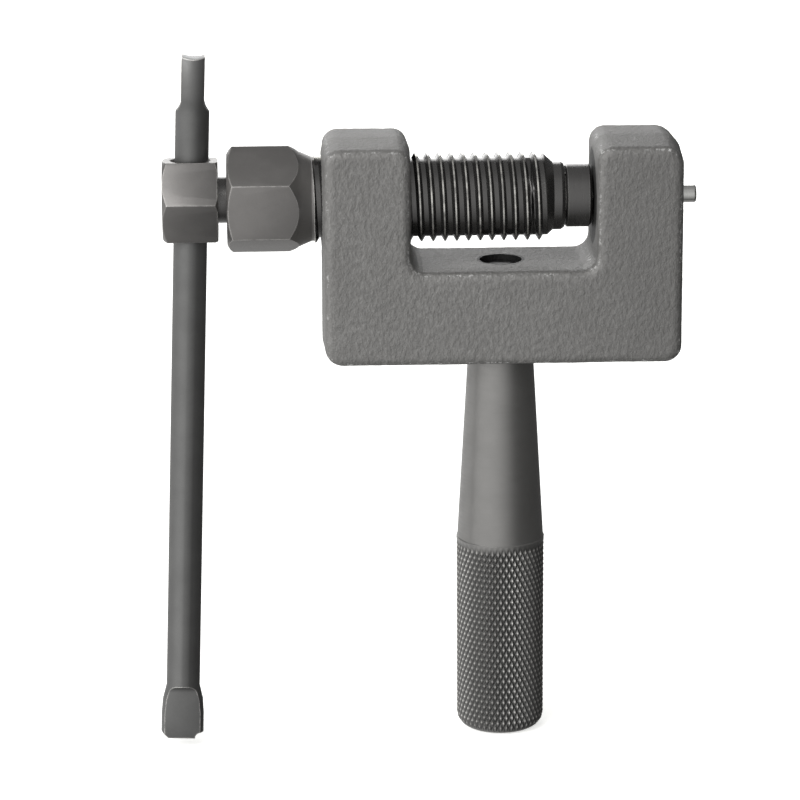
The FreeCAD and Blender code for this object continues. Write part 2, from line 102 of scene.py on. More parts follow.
def length(name, description, default, low=0.0, high=1.0):
    """A length property in metres."""
    return FloatProperty(
        name=name,
        description=description,
        subtype="DISTANCE",
        unit="LENGTH",
        default=default,
        min=low,
        max=high,
        precision=5,
    )


# ---------------------------------------------------------------- settings


class CastBodySettings(bpy.types.PropertyGroup):
    """The cast U body's skin and colours."""

    skin: length("Skin", "Spacing of the skin's points", 0.4 * MM, 0.2 * MM, 2 * MM)
    swell: length("Swell", "Height of the casting's slow unevenness", 0.10 * MM)
    pebble: length("Pebble", "Height of the sand's pebbled imprint", 0.07 * MM)
    grey: tint("Grey", "The phosphated surface", "#757472")
    pale: tint("Pale", "Where the coat is thin", "#8d8c8a")
    worn: tint("Worn", "Bare steel on rubbed edges", "#d8d8d6")
    # painted shade: the drilled colour darkens the holes' walls, where shade falls
    drilled: tint("Drilled", "Dark oil left in the holes", "#2c2c2b")


class HandleSettings(bpy.types.PropertyGroup):
    """The turned handle and its knurl."""

    starts: IntProperty(
        name="Starts",
        description="Knurl grooves of one hand, counted round the grip",
        default=47,
        min=12,
        max=90,
    )
    lead: length("Diamond length", "One knurl diamond along the grip", 2.45 * MM)
    depth: length("Groove depth", "Depth of the knurl's grooves", 0.45 * MM)
    steel: tint("Steel", "The satin taper", "#8a8987")
    # the ridge colour is partly rubbed steel and partly a painted highlight
    ridge_wear_and_highlight: tint("Ridge", "Rubbed bright on the knurl's ridges", "#c9c7c3")
    # painted shade: the grooves' colour is darker where shade falls in them
    groove_shade: tint("Valley", "Darker coat left in the knurl's grooves", "#4d4d4c")


class SatinSteelSettings(bpy.types.PropertyGroup):
    """The satin grey hexagons and bar."""

    steel: tint("Steel", "Satin grey steel", "#807e7c")
    bar: tint("Bar", "The tommy bar's steel", "#6f6f6e")
    # edge colour: polish from handling, and a painted highlight along the edges
    edge: tint("Edge", "Polished where edges are handled", "#dedcd8")
    softening: length("Edge softening", "Width of the broken edges", 0.55 * MM)


class BlackSteelSettings(bpy.types.PropertyGroup):
    """The blackened thread and nose, and the bright pin and wire."""

    black: tint("Black", "Black oxide with oil on it", "#5e5d5c")
    # crest colour: partly oxide rubbed off, partly a painted highlight on crests and edges
    crest: tint("Crest", "Where the oxide is rubbed off the crests", "#dddbd5")
    bright: tint("Bright", "The ground pin", "#c4c4c1")
    wire: tint("Wire", "Drawn spring wire", "#8f8e8b")


class StageSettings(bpy.types.PropertyGroup):
    """Floor, light and camera."""

    floor: tint("Floor", "Pale floor", "#fffffd")
    key_power: FloatProperty(
        name="Key light",
        description="Large soft light, above on the left",
        subtype="POWER",
        unit="POWER",
        default=3.0,
        min=0.0,
    )
    back_power: FloatProperty(
        name="Back light",
        description="Soft light, low behind the tool",
        subtype="POWER",
        unit="POWER",
        default=3.0,
        min=0.0,
    )
    room: FloatProperty(
        name="Room",
        description="Brightness of the room's left side",
        default=1.15,
        min=0.0,
    )
    distance: length("Distance", "From the camera to what it looks at", 0.85, 0.1, 10)
    azimuth: FloatProperty(
        name="Azimuth",
        description="Camera's turn to the left of square on",
        subtype="ANGLE",
        unit="ROTATION",
        default=math.radians(-2.06),
    )
    elevation: FloatProperty(
        name="Elevation",
        description="Camera's height above level",
        subtype="ANGLE",
        unit="ROTATION",
        default=math.radians(15.6),
    )


# ---------------------------------------------------------------- materials

SMOOTH = {"interpolation_type": "SMOOTHSTEP"}
COLOURS = {"data_type": "RGBA"}
TIMES = {"operation": "MULTIPLY"}
PLUS = {"operation": "ADD"}
MINUS = {"operation": "SUBTRACT"}
LIKENESS = {"operation": "DOT_PRODUCT"}
MIXED_NUMBER, MIXED_COLOUR = 0, 2


def add(tree, kind, settings=None, output=0, **inputs):
    """Adds a node with its settings, sets or links its inputs by name or number, and
    returns one of its outputs if it has any."""
    node = tree.nodes.new("ShaderNode" + kind)
    for name, value in (settings or {}).items():
        setattr(node, name, value)
    for key, value in inputs.items():
        socket = node.inputs[int(key[1:]) if key[1:].isdigit() else key.replace("_", " ")]
        if isinstance(value, bpy.types.NodeSocket):
            tree.links.new(value, socket)
        elif socket.type == "RGBA":
            socket.default_value = (*value, 1.0)
        else:
            socket.default_value = value
    return node.outputs[output] if node.outputs else None


def new_material(name):
    """A material with nothing in it yet, and its tree."""
    material = bpy.data.materials.new(name)
    material.use_nodes = True
    material.node_tree.nodes.clear()
    return material, material.node_tree


def pattern(size_mm, detail=2.0, roughness=0.55):
    """A noise's numbers, for features about size_mm across."""
    return {"Scale": 1.0 / (size_mm * MM), "Detail": detail, "Roughness": roughness}


def span(low, high, to_low=0.0, to_high=1.0):
    """A map range's numbers: low..high becomes to_low..to_high."""
    return {"i1": low, "i2": high, "i3": to_low, "i4": to_high}


def shaded(colour, share):
    """A colour with that share of its light."""
    return [c * share for c in colour]


def corner_mask(tree, radius, sharp):
    """Near 1 within radius of an edge of the piece, and 0 on its flats."""
    rounded = add(tree, "Bevel", {"samples": 6}, Radius=radius)
    plain = add(tree, "NewGeometry", output="Normal")
    likeness = add(tree, "VectorMath", LIKENESS, "Value", i0=rounded, i1=plain)
    return add(tree, "MapRange", SMOOTH, Value=likeness, **span(1.0, 1.0 - sharp))


def cast_phosphated_steel(settings):
    """Sand-cast steel, shot-blasted and phosphated: a dull, pebbled mid grey that scatters
    most light, with paler thin spots and bare specks along rubbed edges. Painted shade
    darkens it towards its right side and in its holes."""
    patch_mm, streak_mm, grit_mm, speck_mm, run_mm = 11.0, 0.85, 0.42, 0.8, 5.0
    streak_tilt, streak_squash = math.radians(-40), 0.6
    # painted shade on the right side: where it starts and ends, how much of it, and how dark
    painted_shade_from, painted_shade_to, painted_shade_share, painted_shade_dim = 0.0, 40.0 * MM, 0.45, 0.7
    streak_depth, grit_depth = 0.26 * MM, 0.10 * MM
    rubbed_gloss = 0.2
    material, tree = new_material("cast_phosphated_steel")
    coords = add(tree, "TexCoord", output="Object")
    patches = add(tree, "TexNoise", Vector=coords, **pattern(patch_mm, 3.0))
    diagonal = add(
        tree,
        "Mapping",
        Vector=coords,
        Rotation=(0.0, streak_tilt, 0.0),
        Scale=(1.0, 1.0, streak_squash),
    )
    streaks = add(tree, "TexNoise", Vector=diagonal, **pattern(streak_mm, 3.0))
    grit = add(tree, "TexNoise", Vector=coords, **pattern(grit_mm, 2.0, 0.6))
    streaked = add(tree, "MapRange", SMOOTH, Value=streaks, **span(0.40, 0.66, 0.0, 0.6))
    gritty = add(tree, "MapRange", SMOOTH, Value=grit, **span(0.46, 0.66, 0.0, 0.4))
    patchy = add(tree, "MapRange", SMOOTH, Value=patches, **span(0.25, 0.75, 0.45, 1.0))
    pale = add(tree, "Math", PLUS, i0=streaked, i1=gritty)
    pale = add(tree, "Math", TIMES, i0=pale, i1=patchy)
    coat = add(
        tree, "Mix", COLOURS, MIXED_COLOUR, i0=pale, i6=settings.grey, i7=settings.pale
    )
    # painted shade: the grey darkens from the middle towards the right side, as if less light
    # fell there
    along = add(tree, "SeparateXYZ", output="X", Vector=coords)
    right_side_shade = add(
        tree, "MapRange", SMOOTH, Value=along, **span(painted_shade_from, painted_shade_to, 0.0, painted_shade_share)
    )
    shaded_grey = shaded(settings.grey, painted_shade_dim)
    coat = add(tree, "Mix", COLOURS, MIXED_COLOUR, i0=right_side_shade, i6=coat, i7=shaded_grey)
    worn = add(tree, "Attribute", {"attribute_name": "worn"}, "Fac")
    specks = add(tree, "TexNoise", Vector=coords, **pattern(speck_mm, 4.0, 0.7))
    runs = add(tree, "TexNoise", Vector=coords, **pattern(run_mm, 1.0))
    specked = add(tree, "MapRange", SMOOTH, Value=specks, **span(0.53, 0.60))
    in_runs = add(tree, "MapRange", SMOOTH, Value=runs, **span(0.42, 0.54))
    bare = add(tree, "Math", TIMES, i0=worn, i1=specked)
    bare = add(tree, "Math", TIMES, i0=bare, i1=in_runs)
    colour = add(tree, "Mix", COLOURS, MIXED_COLOUR, i0=bare, i6=coat, i7=settings.worn)
    # painted shade: the holes' walls are painted dark
    drilled = add(tree, "Attribute", {"attribute_name": "drilled"}, "Fac")
    colour = add(
        tree, "Mix", COLOURS, MIXED_COLOUR, i0=drilled, i6=colour, i7=settings.drilled
    )
    dull = add(tree, "MapRange", SMOOTH, Value=streaks, **span(0.3, 0.7, 0.52, 0.64))
    glossed = add(tree, "Math", TIMES, i0=bare, i1=rubbed_gloss)
    roughness = add(tree, "Math", MINUS, i0=dull, i1=glossed)
    coarse = add(tree, "Bump", Height=streaks, Distance=streak_depth, Strength=1.0)
    fine = add(tree, "Bump", Height=grit, Distance=grit_depth, Strength=1.0, Normal=coarse)
    shader = add(
        tree,
        "BsdfPrincipled",
        Base_Color=colour,
        Metallic=0.35,
        Roughness=roughness,
        Normal=fine,
    )
    add(tree, "OutputMaterial", Surface=shader)
    return material


def knurled_satin_steel(settings):
    """Turned and knurled bar steel with a thin phosphate coat: satin on the taper, painted
    shade in the knurl's grooves, and its diamonds rubbed bright with a painted highlight."""
    mark_mm, cloud_mm, mark_squash = 0.5, 7.0, 0.12
    cloud_share, cloud_shade, mark_depth = 0.5, 0.84, 0.012 * MM
    ridge_mark_top, ridge_mark_foot = (43.2 * MM, 42.0 * MM), (1.0 * MM, 2.4 * MM)
    material, tree = new_material("knurled_satin_steel")
    coords = add(tree, "TexCoord", output="Object")
    rings = add(tree, "Mapping", Vector=coords, Scale=(mark_squash, mark_squash, 1.0))
    tool_marks = add(tree, "TexNoise", Vector=rings, **pattern(mark_mm))
    cloud = add(tree, "TexNoise", Vector=coords, **pattern(cloud_mm))
    clouded = add(
        tree, "MapRange", SMOOTH, Value=cloud, **span(0.3, 0.7, 0.0, cloud_share)
    )
    dimmer = shaded(settings.steel, cloud_shade)
    base = add(
        tree, "Mix", COLOURS, MIXED_COLOUR, i0=clouded, i6=settings.steel, i7=dimmer
    )
    groove = add(tree, "Attribute", {"attribute_name": "groove"}, "Fac")
    height = add(tree, "SeparateXYZ", output="Z", Vector=coords)
    below_top = add(tree, "MapRange", SMOOTH, Value=height, **span(*ridge_mark_top))
    above_foot = add(tree, "MapRange", SMOOTH, Value=height, **span(*ridge_mark_foot))
    on_grip = add(tree, "Math", TIMES, i0=below_top, i1=above_foot)
    # painted highlight, with some wear: the knurl's ridges are painted bright
    ridge_wear_and_highlight = add(tree, "MapRange", SMOOTH, Value=groove, **span(0.42, 0.08))
    ridge_wear_and_highlight = add(tree, "Math", TIMES, i0=ridge_wear_and_highlight, i1=on_grip)
    # painted shade in the knurl's grooves
    colour = add(tree, "Mix", COLOURS, MIXED_COLOUR, i0=groove, i6=base, i7=settings.groove_shade)
    colour = add(
        tree, "Mix", COLOURS, MIXED_COLOUR, i0=ridge_wear_and_highlight, i6=colour, i7=settings.ridge_wear_and_highlight
    )
    shader = add(
        tree,
        "BsdfPrincipled",
        Base_Color=colour,
        Metallic=0.85,
        Roughness=add(
            tree, "MapRange", SMOOTH, Value=tool_marks, **span(0.3, 0.7, 0.33, 0.42)
        ),
        Normal=add(tree, "Bump", Height=tool_marks, Distance=mark_depth, Strength=1.0),
    )
    add(tree, "OutputMaterial", Surface=shader)
    return material


def tumbled_colour(tree, coords, steel, edge):
    """Tumbled steel's colour: faintly clouded, and painted bright along its edges, partly for
    polish and partly as a painted highlight.
    """
    cloud_mm, cloud_share, cloud_shade = 6.0, 0.6, 0.82
    edge_width, edge_sharp, handled_mm = 0.45 * MM, 0.10, 1.6
    cloud = add(tree, "TexNoise", Vector=coords, **pattern(cloud_mm, 3.0))
    clouded = add(
        tree, "MapRange", SMOOTH, Value=cloud, **span(0.3, 0.7, 0.0, cloud_share)
    )
    base = add(
        tree,
        "Mix",
        COLOURS,
        MIXED_COLOUR,
        i0=clouded,
        i6=steel,
        i7=shaded(steel, cloud_shade),
    )
    handled = add(tree, "TexNoise", Vector=coords, **pattern(handled_mm, 3.0))
    handled = add(tree, "MapRange", SMOOTH, Value=handled, **span(0.28, 0.62, 0.25, 1.0))
    # painted highlight, with some polish: the edges are painted bright
    rubbed = corner_mask(tree, edge_width, edge_sharp)
    rubbed = add(tree, "Math", TIMES, i0=rubbed, i1=handled)
    return add(tree, "Mix", COLOURS, MIXED_COLOUR, i0=rubbed, i6=base, i7=edge)


def forged_satin_steel(settings):
    """Forged steel, tumbled to a soft satin: an even grey sheen with a very fine grain, and
    edges polished by handling and brightened by a painted highlight."""
    grain_mm, grain_depth = 0.3, 0.008 * MM
    material, tree = new_material("forged_satin_steel")
    coords = add(tree, "TexCoord", output="Object")
    grain = add(tree, "TexNoise", Vector=coords, **pattern(grain_mm))
    shader = add(
        tree,
        "BsdfPrincipled",
        Base_Color=tumbled_colour(tree, coords, settings.bar, settings.edge),
        Metallic=0.8,
        Roughness=add(
            tree, "MapRange", SMOOTH, Value=grain, **span(0.3, 0.7, 0.42, 0.52)
        ),
        Normal=add(tree, "Bump", Height=grain, Distance=grain_depth, Strength=1.0),
    )
    add(tree, "OutputMaterial", Surface=shader)
    return material


def two_finish_steel(name, black_settings, satin_settings, black_from):
    """One bar of steel with two finishes: tumbled satin on the hexagon, and oiled black
    oxide from black_from onwards, painted bright along the thread's crests, partly for
    oxide rubbed thin and partly as a painted highlight."""
    change, grain_mm, grain_depth, crest_mm = 0.05 * MM, 0.3, 0.008 * MM, 2.5
    material, tree = new_material(name)
    coords = add(tree, "TexCoord", output="Object")
    along = add(tree, "SeparateXYZ", output="X", Vector=coords)
    threaded = add(
        tree,
        "MapRange",
        SMOOTH,
        Value=along,
        **span(black_from - change, black_from + change),
    )
    satin = tumbled_colour(tree, coords, satin_settings.steel, satin_settings.edge)
    # painted highlight, with some wear: the thread's crests are painted bright
    crest = add(tree, "Attribute", {"attribute_name": "crest"}, "Fac")
    crest_variation = add(tree, "TexNoise", Vector=coords, **pattern(crest_mm))
    crest_variation = add(tree, "MapRange", SMOOTH, Value=crest_variation, **span(0.35, 0.65, 0.25, 0.85))
    rubbed = add(tree, "Math", TIMES, i0=crest, i1=crest_variation)
    oxide = add(
        tree,
        "Mix",
        COLOURS,
        MIXED_COLOUR,
        i0=rubbed,
        i6=black_settings.black,
        i7=black_settings.crest,
    )
    grain = add(tree, "TexNoise", Vector=coords, **pattern(grain_mm))
    on_satin = add(tree, "MapRange", SMOOTH, Value=grain, **span(0.3, 0.7, 0.38, 0.48))
    on_oxide = add(tree, "MapRange", SMOOTH, Value=grain, **span(0.3, 0.7, 0.21, 0.29))
    shader = add(
        tree,
        "BsdfPrincipled",
        Base_Color=add(
            tree, "Mix", COLOURS, MIXED_COLOUR, i0=threaded, i6=satin, i7=oxide
        ),
        Metallic=0.9,
        Roughness=add(
            tree, "Mix", None, MIXED_NUMBER, i0=threaded, i2=on_satin, i3=on_oxide
        ),
        Normal=add(tree, "Bump", Height=grain, Distance=grain_depth, Strength=1.0),
    )
    add(tree, "OutputMaterial", Surface=shader)
    return material


def black_oxide(settings):
    """Turned steel, blackened in hot salts and oiled: near black, glossy, faint rings, and
    edges painted bright, partly for wear and partly as a painted highlight.
    """
    mark_mm, mark_squash, mark_depth = 0.35, 0.1, 0.01 * MM
    edge_width, edge_sharp, edge_share = 0.3 * MM, 0.15, 0.55
    material, tree = new_material("black_oxide_steel")
    coords = add(tree, "TexCoord", output="Object")
    rings = add(tree, "Mapping", Vector=coords, Scale=(1.0, mark_squash, mark_squash))
    marks = add(tree, "TexNoise", Vector=rings, **pattern(mark_mm))
    # painted highlight, with some wear: the nose's edges are painted bright
    edge = corner_mask(tree, edge_width, edge_sharp)
    edge = add(tree, "Math", TIMES, i0=edge, i1=edge_share)
    shader = add(
        tree,
        "BsdfPrincipled",
        Base_Color=add(
            tree,
            "Mix",
            COLOURS,
            MIXED_COLOUR,
            i0=edge,
            i6=settings.black,
            i7=settings.crest,
        ),
        Metallic=0.9,
        Roughness=add(
            tree, "MapRange", SMOOTH, Value=marks, **span(0.3, 0.7, 0.26, 0.36)
        ),
        Normal=add(tree, "Bump", Height=marks, Distance=mark_depth, Strength=1.0),
    )
    add(tree, "OutputMaterial", Surface=shader)
    return material


def ground_steel(settings):
    """Centreless-ground silver steel: bright, with faint rings round it."""
    mark_mm, mark_squash, mark_depth, dim_share = 0.3, 0.08, 0.006 * MM, 0.8
    material, tree = new_material("ground_silver_steel")
    coords = add(tree, "TexCoord", output="Object")
    rings = add(tree, "Mapping", Vector=coords, Scale=(1.0, mark_squash, mark_squash))
    marks = add(tree, "TexNoise", Vector=rings, **pattern(mark_mm))
    dimmer = shaded(settings.bright, dim_share)
    shader = add(
        tree,
        "BsdfPrincipled",
        Base_Color=add(
            tree, "Mix", COLOURS, MIXED_COLOUR, i0=marks, i6=settings.bright, i7=dimmer
        ),
        Metallic=1.0,
        Roughness=add(
            tree, "MapRange", SMOOTH, Value=marks, **span(0.3, 0.7, 0.15, 0.27)
        ),
        Normal=add(tree, "Bump", Height=marks, Distance=mark_depth, Strength=1.0),
    )
    add(tree, "OutputMaterial", Surface=shader)
    return material


def drawn_wire(settings):
    """Hard-drawn spring steel: smooth, faintly mottled, and a dull oiled grey."""
    mottle_mm, dim_share = 0.4, 0.7
    material, tree = new_material("drawn_spring_steel")
    coords = add(tree, "TexCoord", output="Object")
    mottle = add(tree, "TexNoise", Vector=coords, **pattern(mottle_mm, 3.0))
    dimmer = shaded(settings.wire, dim_share)
    shader = add(
        tree,
        "BsdfPrincipled",
        Base_Color=add(
            tree, "Mix", COLOURS, MIXED_COLOUR, i0=mottle, i6=settings.wire, i7=dimmer
        ),
        Metallic=1.0,
        Roughness=add(
            tree, "MapRange", SMOOTH, Value=mottle, **span(0.3, 0.7, 0.26, 0.4)
        ),
    )
    add(tree, "OutputMaterial", Surface=shader)
    return material


# ---------------------------------------------------------------- shapes


def new_piece(name, mesh, node, body, material):
    """Puts a mesh in the scene as the piece that stands for a CAD node."""
    piece = bpy.data.objects.new(name, mesh)
    bpy.context.scene.collection.objects.link(piece)
    mesh.materials.clear()
    mesh.materials.append(material)
    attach(piece, body)
    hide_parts(node)
    return piece


def finish_node(node, material):
    """Gives a CAD node its finish."""
    slots = NODES[node].material_slots
    if not slots:
        NODES[node].data.materials.append(material)
    for slot in slots:
        slot.material = material


def welded_copy(node):
    """A CAD node's mesh as a bmesh, with its split vertices joined."""
    mesh = bmesh.new()
    mesh.from_mesh(NODES[node].data)
    bmesh.ops.remove_doubles(mesh, verts=mesh.verts, dist=0.0005 * MM)
    return mesh


def to_mesh(source, name, smooth_below=32.0):
    """A bmesh made into a mesh, smooth where faces meet at less than that many degrees."""
    mesh = bpy.data.meshes.new(name)
    source.to_mesh(mesh)
    source.free()
    for attribute in ("custom_normal", "sharp_edge", "sharp_face"):
        if attribute in mesh.attributes:
            mesh.attributes.remove(mesh.attributes[attribute])
    mesh.shade_smooth()
    mesh.set_sharp_from_angle(angle=math.radians(smooth_below))
    return mesh


def soften_edges(mesh, chosen, width, sharper_than=18.0):
    """Breaks the sharp edges of a bmesh for which chosen(edge) is true."""
    limit, flat_below = math.radians(sharper_than), math.radians(0.4)
    bmesh.ops.dissolve_limit(
        mesh,
        angle_limit=flat_below,
        verts=[v for v in mesh.verts if all(chosen(e) for e in v.link_edges)],
        edges=[e for e in mesh.edges if chosen(e)],
    )
    sharp = [
        e
        for e in mesh.edges
        if len(e.link_faces) == 2 and chosen(e) and e.calc_face_angle(0.0) > limit
    ]
    bmesh.ops.bevel(
        mesh,
        geom=sharp,
        offset=width / 2,
        offset_type="OFFSET",
        segments=2,
        profile=0.5,
        affect="EDGES",
        clamp_overlap=True,
    )
    bmesh.ops.triangulate(mesh, faces=[f for f in mesh.faces if len(f.verts) > 4])


def vertex_rows(mesh):
    """A mesh's points and normals, as rows of x, y and z."""
    points = np.zeros(len(mesh.vertices) * 3)
    normals = points.copy()
    mesh.vertices.foreach_get("co", points)
    mesh.vertex_normals.foreach_get("vector", normals)
    return points.reshape(-1, 3), normals.reshape(-1, 3)


def vertex_values(mesh, name, values):
    """Stores one number per vertex for a material to read."""
    attribute = mesh.attributes.new(name, "FLOAT", "POINT")
    attribute.data.foreach_set("value", np.asarray(values, np.float32))


def uneven(points, size_mm, octaves=2):
    """Smooth noise, about -1 to 1, at each point."""
    scale = 1.0 / (size_mm * MM)
    return np.array(
        [noise.fractal(Vector(p) * scale, 1.0, 2.0, octaves) for p in points]
    )


def turned_cutter(name, outline, place, axis):
    """A turned solid, from (place along the axis, radius) pairs, to cut or fill a hole."""
    sides = 96
    mesh = bmesh.new()
    rings = []
    square = axis.orthogonal().normalized()
    other = axis.cross(square)
    for along, radius in outline:
        ring = []
        for side in range(sides):
            angle = 2 * math.pi * side / sides
            out = square * math.cos(angle) + other * math.sin(angle)
            ring.append(mesh.verts.new(place + axis * along + out * radius))
        rings.append(ring)
    for one, two in zip(rings, rings[1:]):
        for side in range(sides):
            after = (side + 1) % sides
            mesh.faces.new((one[side], one[after], two[after], two[side]))
    mesh.faces.new(tuple(reversed(rings[0])))
    mesh.faces.new(tuple(rings[-1]))
    bmesh.ops.recalc_face_normals(mesh, faces=mesh.faces)
    data = bpy.data.meshes.new(name)
    mesh.to_mesh(data)
    mesh.free()
    cutter = bpy.data.objects.new(name, data)
    bpy.context.scene.collection.objects.link(cutter)
    return cutter


def body_holes():
    """The body's three holes: (outline, start, axis), measured into the metal."""
    chamfer, past = 0.5 * MM, 1.0 * MM
    flare = chamfer + past
    arm, base = BODY_HIGH.x - GAP_HALF, GAP_FLOOR - BODY_LOW.z
    along_x, up = Vector((1.0, 0.0, 0.0)), Vector((0.0, 0.0, 1.0))
    screw_hole = (
        (-past, SCREW_BORE + flare),
        (chamfer, SCREW_BORE),
        (arm - chamfer, SCREW_BORE),
        (arm + past, SCREW_BORE + flare),
    )
    anvil_hole = (
        (-past, ANVIL_BORE + flare),
        (chamfer, ANVIL_BORE),
        (arm + past, ANVIL_BORE),
    )
    stud_hole = ((-past, STUD_BORE), (base + past, STUD_BORE))
    return (
        (screw_hole, Vector((-BODY_HIGH.x, 0.0, SPINDLE_HEIGHT)), along_x),
        (anvil_hole, Vector((GAP_HALF, 0.0, SPINDLE_HEIGHT)), along_x),
        (stud_hole, Vector((0.0, 0.0, BODY_LOW.z)), up),
    )


def applied(carrier):
    """The carrier's mesh with its modifiers applied, which are then cleared."""
    ready = bpy.context.evaluated_depsgraph_get()
    carrier.data = bpy.data.meshes.new_from_object(carrier.evaluated_get(ready))
    carrier.modifiers.clear()


def combine(carrier, tools, operation):
    """Adds or cuts each tool, then takes the tools away."""
    for tool in tools:
        step = carrier.modifiers.new(tool.name, "BOOLEAN")
        step.operation = operation
        step.solver = "MANIFOLD"
        step.object = tool
    applied(carrier)
    for tool in tools:
        bpy.data.objects.remove(tool)


def cast_skin(skin, swell, pebble):
    """The U body's surface as an even skin, pressed in by the sand's unevenness and then
    drilled, so that its holes stay clean."""
    swell_mm, pebble_mm, plug_margin, plug_inset = 7.0, 1.3, 0.8 * MM, 1.0 * MM
    sharp_from = math.radians(40)
    carrier = bpy.data.objects.new("cast_skin_source", bpy.data.meshes.new("skin"))
    source = welded_copy("u_body")
    source.to_mesh(carrier.data)
    source.free()
    bpy.context.scene.collection.objects.link(carrier)
    holes = body_holes()
    plugs = []
    for outline, place, axis in holes:
        start, end = outline[0][0] + plug_inset, outline[-1][0] - plug_inset
        widest = outline[1][1] + plug_margin
        ends = ((start, widest), (end, widest))
        plugs.append(turned_cutter("plug", ends, place, axis))
    combine(carrier, plugs, "UNION")
    remesh = carrier.modifiers.new("Skin", "REMESH")
    remesh.mode = "VOXEL"
    remesh.voxel_size = skin
    applied(carrier)
    mesh = carrier.data
    points, normals = vertex_rows(mesh)
    depth = swell * (0.5 + 0.5 * uneven(points, swell_mm))
    depth += pebble * (0.5 + 0.5 * uneven(points, pebble_mm))
    points -= normals * np.clip(depth, 0.0, None)[:, None]
    mesh.vertices.foreach_set("co", points.ravel())
    mesh.update()
    cutters = [turned_cutter("drill", *hole) for hole in holes]
    combine(carrier, cutters, "DIFFERENCE")
    mesh = carrier.data
    bpy.data.objects.remove(carrier)
    mark_wear(mesh)
    mesh.shade_smooth()
    mesh.set_sharp_from_angle(angle=sharp_from)
    mesh.update()
    return mesh


def mark_wear(mesh):
    """Marks the rounded outer edges, most of all on the right and at the foot's corners, and
    the holes' walls, which the material darkens with painted shade.
    """
    wear_from, wear_full, least_wear = 0.16, 0.26, 0.55
    right_zone, foot_zone = 5.0 * MM, 7.0 * MM
    screw_zone, stud_zone = 10.4 * MM, 5.2 * MM
    points, normals = vertex_rows(mesh)
    turned_away = 1.0 - np.abs(normals).max(1)
    edge = np.clip((turned_away - wear_from) / (wear_full - wear_from), 0.0, 1.0)
    right = points[:, 0] > BODY_HIGH.x - right_zone
    foot = points[:, 2] < BODY_LOW.z + foot_zone
    share = least_wear + (1.0 - least_wear) * (right | foot)
    off_spindle = np.hypot(points[:, 1], points[:, 2] - SPINDLE_HEIGHT)
    off_handle = np.hypot(points[:, 0], points[:, 1])
    drilled = (off_spindle < screw_zone) | (off_handle < stud_zone)
    vertex_values(mesh, "worn", edge * share * ~drilled)
    # the holes' walls, for the material's painted shade
    vertex_values(mesh, "drilled", drilled.astype(float))


def handle_outline(spacing):
    """The handle's rows of height and radius from its rounded end up to the stud, spaced
    closely on the grip, and how many of them are on the grip."""
    end_round, round_steps, taper_steps = GRIP_END_ROUND, 8, 24
    waist, neck, waist_step = 9.475 * MM, 7.1 * MM, 0.2 * MM
    stud_end, stud_radius, stud_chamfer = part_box("handle")[1].z, 4.515 * MM, 0.9 * MM
    rows = [(0.0, GRIP_RADIUS - end_round)]
    for step in range(1, round_steps + 1):
        angle = math.radians(90 * step / round_steps)
        rise, inset = 1 - math.cos(angle), 1 - math.sin(angle)
        rows.append((end_round * rise, GRIP_RADIUS - end_round * inset))
    z = end_round + spacing
    while z < GRIP_LENGTH - 0.5 * spacing:
        rows.append((z, GRIP_RADIUS))
        z += spacing
    rows.append((GRIP_LENGTH, GRIP_RADIUS))
    on_grip = len(rows)
    taper_start = GRIP_LENGTH + waist_step
    for step in range(taper_steps + 1):
        share = step / taper_steps
        height = taper_start + (HANDLE_TOP - taper_start) * share
        rows.append((height, waist + (neck - waist) * share))
    rows += [
        (HANDLE_TOP, stud_radius),
        (stud_end - stud_chamfer, stud_radius),
        (stud_end, stud_radius - stud_chamfer),
    ]
    return np.array(rows), on_grip


def knurl_cuts(settings, heights, turn):
    """How far into the crossed grooves each point is: 0 on a diamond, 1 in a groove. The
    knurl fades out at both ends of the grip."""
    top_plain, top_fade = 0.3 * MM, 1.6 * MM
    foot_plain, foot_fade = 0.35 * MM, 1.3 * MM
    flat_diamond = 0.94
    along = (heights - GRIP_END_ROUND) / settings.lead
    one, other = (turn * settings.starts + along) % 1.0, (turn * settings.starts - along) % 1.0
    wedge = 2.0 * np.minimum(np.minimum(one, 1 - one), np.minimum(other, 1 - other))
    cuts = 1.0 - np.clip(wedge / flat_diamond, 0.0, 1.0)
    cuts *= np.clip((GRIP_LENGTH - top_plain - heights) / top_fade, 0.0, 1.0)
    return cuts * np.clip((heights - foot_plain) / foot_fade, 0.0, 1.0)


def square_middles(rows):
    """The middle of each square between neighbouring rows of points or values."""
    after = np.roll(rows, -1, axis=1)
    return (rows[:-1] + after[:-1] + after[1:] + rows[1:]) / 4


